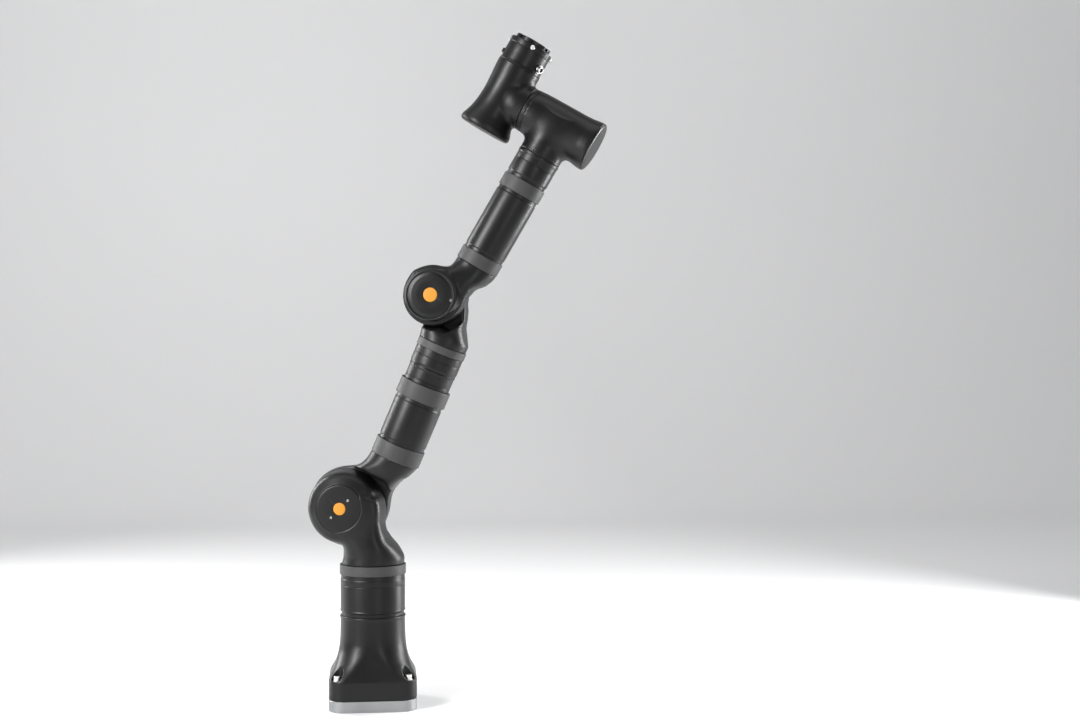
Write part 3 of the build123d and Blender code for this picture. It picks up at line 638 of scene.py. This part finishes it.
def make_shoulder():
    low = J1_LINE + GAP
    outline = [(51.5, low), (58.2, low, 0.4), (57.6, low + 5.5, 2), (60.1, low + 8.0, 0.8),
               (60.1, low + 9.3, 0.9), (COLUMN_R, low + 11.0, 1.5),
               (COLUMN_R, 221.2, 0.4), (58.8, 221.6), (58.8, 222.4), (COLUMN_R, 222.8, 0.4),
               (COLUMN_R, 232.5, 0.6), (58.7, 234, 0.6), (58.7, BAND_1[0] - 0.3, 0.4),
               (54.9, BAND_1[0] - 0.3), (54.9, 250.5), (47.4, 250.5), (47.4, 233.5),
               (52.4, 233.5), (52.4, low + 9.7),
               (15, low + 9.7), (15, low + 4.7), (51.5, low + 4.7)]
    turned("shoulder_sleeve", outline, COLUMN, "shoulder", BLACK, replaced=["shoulder_joint_sleeve"],
           slot="housing_black")
    band("shoulder_clamp_band", BAND_1, COLUMN, "shoulder", "shoulder_band")
    modelled("shoulder_casting", shoulder_field, (-74, -60, -106), (110, 60, 74), SHOULDER, "shoulder",
             BLACK, replaced=["shoulder_housing"], slot="housing_black")
    front = SHOULDER @ TO_FRONT
    hinge_cap("shoulder_cover", J2_BARREL, J2_DISC, front, "shoulder", "shoulder_cap")
    cap_disc("shoulder_mark", J2_BARREL, J2_DISC, front, "shoulder", "shoulder_cap_disc")


UPPER_NECK = [(-6, 2, 27, 50, 27, 4.0), (22, 3, 27, 56, 28, 4.2), (45, 9, 20, 53, 35, 4.0),
              (65, 20, 12, 45.5, 41, 3.4), (84, 33, 4.5, 41.5, 44.5, 2.7), (100, 42, 1, 43.2, 45.2, 2.2),
              (118, UPPER_AXIS, 0, 45.7, 45.7, 2.0)]


def upper_field(x, y, z):
    """Rear half of the shoulder hinge flowing up to the first arm band, origin on the J2 axis."""
    r, h = np.hypot(x, z), y
    size = J2_BARREL
    body = smooth_min(domed_half(r, h, size, J2_REAR_R), neck_field(UPPER_NECK, -1.0)(x, y, z), 12.0)
    body = scooped(body, x, r, -h, UPPER_SCOOP)
    body = np.maximum(body, z - BAND_2[0])
    body = carved(body, np.maximum(np.hypot(x - UPPER_AXIS, y) - 36.0, 96.0 - z))
    body = carved(body, hub_recess("j2", r, h))
    return carved(body, np.maximum(np.maximum(r - size[1] + 5, 10 - h), h - 60))


def make_upper_arm():
    modelled("upper_arm_casting", upper_field, (-74, -60, -74), (96, 60, 118), UPPER, "upper_arm",
             BLACK, replaced=["upper_arm_housing"], slot="housing_black")
    axis = UPPER @ shifted(UPPER_AXIS)
    band("upper_arm_lower_clamp", BAND_2, axis, "upper_arm", "upper_arm_lower_band")
    band("upper_arm_upper_clamp", BAND_3, axis, "upper_arm", "upper_arm_upper_band")
    turned("upper_arm_pipe", tube_outline(BAND_2, BAND_3, UPPER_TUBE_R), axis, "upper_arm", BLACK,
           replaced=["upper_arm_tube"], slot="housing_black")
    mid = (BAND_3[0] + BAND_3[1]) / 2
    turned("upper_arm_joint_ring",
           [(36.05, mid), (43, mid), (43, 267.3), (43.6, 267.3, 0.4), (43.6, 274, 0.4), (42.9, 274.4),
            (42.9, 275.2), (43.6, 275.6, 0.4), (43.6, J3_LINE - 5, 2), (44.6, J3_LINE - 2.6, 0.9),
            (44.6, J3_LINE, 0.6), (36.05, J3_LINE)],
           axis, "upper_arm", BLACK, replaced=["upper_arm_joint_housing"], slot="housing_black")
    rear = UPPER @ TO_REAR
    hinge_cap("upper_arm_cover", J2_BARREL, J2_DISC, rear, "upper_arm", "upper_arm_cap")
    cap_disc("upper_arm_mark", J2_BARREL, J2_DISC, rear, "upper_arm", "upper_arm_cap_disc")


# ---------------------------------------------------------------- elbow hinge halves
def bossed_half(r, h, size):
    """Half hinge: round flange with a raised, softly rounded boss that carries the cap."""
    flange = smooth_max(r - size[0] + 0.3, h - 34.0, 5.0)
    boss = smooth_max(r - size[1] - 4.6, h - size[2] + 0.9, 5.0)
    return cap_top(smooth_min(flange, boss, 3.0), r, h, size)


ELBOW_NECK = [(-78, UPPER_AXIS - 1.0, 0, 45.6, 45.4, 2.0), (-66, 45.6, 0.5, 46.3, 44.6, 2.2),
              (-54, 40.5, 3, 44.0, 43, 2.9), (-36, 29.5, 10, 42.5, 38, 4.0), (-15, 17.5, 18, 47.0, 31, 5.0),
              (2, 6, 23, 51, 26, 5.0)]


def elbow_field(x, y, z):
    """Rear half of the elbow hinge above its band, origin on the J4 axis."""
    r, h = np.hypot(x, z), y
    size = J4_BARREL
    body = smooth_min(bossed_half(r, h, size), neck_field(ELBOW_NECK)(x, y, z), 9.0)
    body = scooped(body, x, r, -h, ELBOW_SCOOP)
    body = np.maximum(body, -78.0 - z)
    body = carved(body, np.maximum(np.hypot(x - UPPER_AXIS, y) - 35.0, z + 70.0))
    body = carved(body, joint_bore("j4", r, h))
    return carved(body, np.maximum(r - size[1] + 5, 40 - h))


def make_elbow():
    axis = UPPER @ shifted(UPPER_AXIS)
    low = J3_LINE + GAP
    mid = (BAND_4[0] + BAND_4[1]) / 2
    turned("elbow_sleeve", [(28.9, low), (44.2, low, 0.5), (44.2, low + 2, 1.0), (45.2, low + 5, 2),
                            (45.2, 318, 0.4), (44.6, 318.4), (44.6, 319.0), (45.2, 319.4, 0.4),
                            (45.2, BAND_4[0] - 0.3, 0.4), (41.6, BAND_4[0] - 0.3), (41.6, mid), (34.2, mid),
                            (34.2, 310.5), (11, 310.5), (11, 303), (28.9, 303)],
           axis, "elbow", BLACK, replaced=["elbow_joint_sleeve"], slot="housing_black")
    band("elbow_clamp_band", BAND_4, axis, "elbow", "elbow_band")
    modelled("elbow_casting", elbow_field, (-58, -50, -78), (96, 54, 58), ELBOW, "elbow",
             BLACK, replaced=["elbow_housing"], slot="housing_black")
    rear = ELBOW @ TO_REAR
    hinge_cap("elbow_cover", J4_BARREL, J4_DISC, rear, "elbow", "elbow_cap",
              ELBOW_CAP_BEVEL)
    cap_disc("elbow_mark", J4_BARREL, J4_DISC, rear, "elbow", "elbow_cap_disc")


FORE_NECK = [(-4, 4, -24, 46, 23, 4.5), (18, 4, -24, 52, 24, 4.5), (36, 13, -18, 45, 30, 4.0),
             (50, 25, -11, 37, 36, 3.2), (64, 35, -4, 37, 39, 2.6), (76, 38, -1, 38.8, 39.4, 2.2),
             (85, FOREARM_AXIS + 0.6, 0, 39.9, 39.7, 2.0)]


def fore_field(x, y, z):
    """Front half of the elbow hinge flowing up to the forearm's first band."""
    r, h = np.hypot(x, z), -y
    size = J4_BARREL
    body = smooth_min(bossed_half(r, h, size), neck_field(FORE_NECK, -1.0)(x, y, z), 9.0)
    body = scooped(body, x, r, -h, FORE_SCOOP)
    body = np.maximum(body, z - BAND_5[0])
    body = carved(body, np.maximum(np.hypot(x - FOREARM_AXIS, y) - 30.6, 71.0 - z))
    body = carved(body, hub_recess("j4", r, h))
    return carved(body, np.maximum(np.maximum(r - size[1] + 5, 10 - h), h - 60))


def make_forearm():
    modelled("forearm_casting", fore_field, (-58, -54, -58), (80, 50, 85), FORE, "forearm",
             BLACK, replaced=["forearm_housing"], slot="housing_black")
    axis = FORE @ shifted(FOREARM_AXIS)
    band("forearm_lower_clamp", BAND_5, axis, "forearm", "forearm_lower_band")
    band("forearm_upper_clamp", BAND_6, axis, "forearm", "forearm_upper_band")
    turned("forearm_pipe", tube_outline(BAND_5, BAND_6, FOREARM_TUBE_R), axis, "forearm", BLACK,
           replaced=["forearm_tube"], slot="housing_black")
    mid = (BAND_6[0] + BAND_6[1]) / 2
    turned("forearm_joint_ring",
           [(31.05, mid), (36, mid), (36, 263.3), (38.4, 263.3, 0.4), (38.4, 269, 1.0), (39.6, 271, 1.2),
            (39.6, 296, 0.5), (38.9, 296.4), (38.9, 297.2), (39.6, 297.6, 0.5), (39.6, 308, 1.5),
            (40.2, 309.5, 0.7), (40.2, J5_ALONG, 0.6), (31.05, J5_ALONG)],
           axis, "forearm", BLACK, replaced=["forearm_joint_housing"], slot="housing_black")
    front = FORE @ TO_FRONT
    hinge_cap("forearm_cover", J4_BARREL, J4_DISC, front, "forearm", "forearm_cap",
              ELBOW_CAP_BEVEL)
    cap_disc("forearm_mark", J4_BARREL, J4_DISC, front, "forearm", "forearm_cap_disc")


# ---------------------------------------------------------------- wrist
def wrist_1_field(x, y, z):
    """T-shaped casting: flared barrel along J6 and a stem down to J5, origin where they cross."""
    r, h = np.hypot(y, z), x
    barrel = radius_field([-J6_LINE, -58, -40, 0, 34, 52, 64, 72, 77],
                          [41.0, 41.6, 42.9, 43.4, 43.6, 44.4, 46.0, 46.8, 46.7])(r, h)
    stem_r = np.hypot(x, y)
    stem = rod_field(39.6, J5_ALONG + GAP - WRIST_ALONG, 10.0)(stem_r, z)
    body = smooth_min(barrel, stem, 13.0)
    body = np.maximum(body, J5_ALONG + GAP - WRIST_ALONG - z)
    body = np.maximum(body, -J6_LINE - x)
    for at in (-60.5, -56.0):
        body = carved(body, np.maximum(np.abs(h - at) - 0.35, 40.7 - r), 0.3)
    for at in (-59.0, -53.5):
        body = carved(body, np.maximum(np.abs(z - at) - 0.35, 38.9 - stem_r), 0.3)
    body = carved(body, np.maximum(r - 41.0, 71.0 - h))
    body = carved(body, np.maximum(r - 36.0, 10.0 - J6_LINE - h))
    body = carved(body, joint_bore("j6", r, h + J6_LINE))
    return carved(body, hub_recess("j5", stem_r, z - J5_ALONG + WRIST_ALONG))


def wrist_2_field(x, y, z):
    """Second T-shaped casting: flared barrel along J7 and a stem to J6, origin on the J7 axis."""
    r = np.hypot(x, y)
    barrel = radius_field([-70, -64, -56, -42, -20, 0, 20, 40, J7_LINE],
                          [49.6, 49.4, 46.8, 42.4, 39.2, 38.4, 39.4, 41.0, 41.8])(r, z)
    stem_r, h = np.hypot(y, z), x
    end = WRIST_2_OFFSET - J6_LINE - GAP
    stem = radius_field([0, 12, 26, 36, end], [22.0, 35.0, 40.2, 41.0, 41.0])(stem_r, h)
    body = smooth_min(barrel, stem, 9.0)
    body = np.maximum(np.maximum(body, x - end), z - J7_LINE)
    body = carved(body, np.maximum(np.abs(h - end + 4.0) - 0.35, 40.2 - stem_r), 0.3)
    body = carved(body, np.maximum(r - 41.0, z + 64.0))
    body = carved(body, np.maximum(r - 32.5, np.abs(z + 24.0) - 38.0))
    body = carved(body, joint_bore("j7", r, J7_LINE - z))
    return carved(body, hub_recess("j6", stem_r, end + GAP - h))


def end_lid(name, seat_r, rim_r, low, high, place, body, node):
    """Round cover with a shadow gap, a soft rim and a slightly domed face."""
    turned(name, [(0, low - 5), (seat_r - 1.1, low - 5), (seat_r - 1.1, low + 0.6), (rim_r, low + 0.6, 0.5),
                  (rim_r, high - 2.4, 1.6), (rim_r - 3.2, high - 0.8, 2),
                  (rim_r - 10, high - 0.2, 8), (0, high)],
           place, body, BLACK, replaced=[node], slot="housing_black")


def make_wrist():
    modelled("wrist_1_casting", wrist_1_field, (-64, -48, -64), (77, 48, 48), WRIST, "wrist_1",
             BLACK, replaced=["wrist_1_housing"], slot="housing_black")
    end_lid("wrist_1_cover", 41.0, 45.9, 77.0, 80.9, WRIST @ TO_RIGHT, "wrist_1", "wrist_1_lid")
    modelled("wrist_2_casting", wrist_2_field, (-50, -50, -70), (51, 50, 58), TOOL, "wrist_2",
             BLACK, replaced=["wrist_2_housing"], slot="housing_black")
    end_lid("wrist_2_cover", 41.0, 48.2, 70.0, 74.0, TOOL @ TO_DOWN, "wrist_2", "wrist_2_lid")


# ---------------------------------------------------------------- tool flange
def make_flange():
    low = J7_LINE + GAP
    outline = [(9.3, low + 5), (24.9, low + 5), (24.9, low), (40.9, low, 0.4), (41.5, low + 1.4, 0.6),
               (40.7, low + 2.8, 0.5), (40.1, low + 4.5, 1.5), (FLANGE_R - 0.2, 84, 20),
               (FLANGE_R - 0.2, FLANGE_TOP - 11, 0.4), (FLANGE_R - 0.7, FLANGE_TOP - 10.6),
               (FLANGE_R - 0.7, FLANGE_TOP - 10), (FLANGE_R - 0.1, FLANGE_TOP - 9.6, 0.4),
               (FLANGE_R, FLANGE_TOP, 0.9), (29.05, FLANGE_TOP),
               (29.05, 94), (14, 94), (14, 88), (26, 88), (26, 68), (9.3, 68)]
    turned("tool_flange_shell", outline, TOOL, "tool_flange", BLACK, replaced=["tool_flange_body"],
           slot="housing_black")


# ---------------------------------------------------------------- stage
def make_stage():
    """Pale floor that curves up into a plain wall behind the arm."""
    profile = [(FLOOR_FRONT, 0.0)]
    for k in range(BEND_STEPS + 1):
        angle = math.radians(90.0 * k / BEND_STEPS)
        along = BEND_START + BEND_R * math.sin(angle)
        profile.append((along, BEND_R - BEND_R * math.cos(angle)))
    profile.append((BEND_START + BEND_R, WALL_TOP))
    points = [(x, y, z) for y, z in profile for x in (-FLOOR_HALF, FLOOR_HALF)]
    faces = [(2 * k, 2 * k + 1, 2 * k + 3, 2 * k + 2) for k in range(len(profile) - 1)]
    mesh = bpy.data.meshes.new("floor")
    mesh.from_pydata(points, [], faces)
    mesh.polygons.foreach_set("use_smooth", [True] * len(faces))
    material, tree, shader = new_material("floor_paint", (0.78, 0.78, 0.785), 0.0, 0.7)
    tree.links.new(ranged(tree, noise(tree, place_texture(tree), 1.5, 3.0), 0.3, 0.7, 0.55, 0.65),
                   shader.inputs["Roughness"])
    mesh.materials.append(material)
    floor = bpy.data.objects.new("floor", mesh)
    bpy.context.scene.collection.objects.link(floor)


def area_light(name, place, target, width, height, power):
    data = bpy.data.lights.new(name, "AREA")
    data.shape = "RECTANGLE"
    data.size = width
    data.size_y = height
    data.energy = power
    lamp = bpy.data.objects.new(name, data)
    lamp.location = place
    lamp.rotation_euler = (Vector(target) - Vector(place)).to_track_quat("-Z", "Y").to_euler()
    bpy.context.scene.collection.objects.link(lamp)


def make_lights():
    area_light("key", (-2.0, -1.5, 1.6), LIGHT_TARGET, 0.55, 1.8, 105.0)
    area_light("fill", (0.9, -2.6, 1.0), LIGHT_TARGET, 0.4, 1.5, 10.0)
    area_light("right_rim", (1.9, 0.5, 0.9), LIGHT_TARGET, 0.35, 1.9, 60.0)
    area_light("left_rim", (-1.7, 1.3, 1.2), LIGHT_TARGET, 0.4, 1.8, 44.0)
    area_light("top", (0.0, -0.5, 5.8), (0.0, 4.6, 1.2), 8.0, 4.0, 150.0)
    world = bpy.data.worlds.new("studio")
    world.use_nodes = True
    background = world.node_tree.nodes["Background"]
    background.inputs["Color"].default_value = (0.86, 0.87, 0.88, 1.0)
    background.inputs["Strength"].default_value = WORLD_STRENGTH
    bpy.context.scene.world = world
    bpy.context.scene.view_settings.view_transform = "Standard"


def make_camera():
    data = bpy.data.cameras.new("camera")
    data.lens = CAMERA_LENS
    data.sensor_width = 36.0
    camera = bpy.data.objects.new("camera", data)
    camera.location = CAMERA_PLACE
    camera.rotation_euler = (math.radians(90.0), 0.0, math.radians(CAMERA_TURN))
    bpy.context.scene.collection.objects.link(camera)
    bpy.context.scene.camera = camera


dress_nodes()
make_stage()
make_camera()
make_lights()
make_base()
make_shoulder()
make_upper_arm()
make_elbow()
make_forearm()
make_wrist()
make_flange()
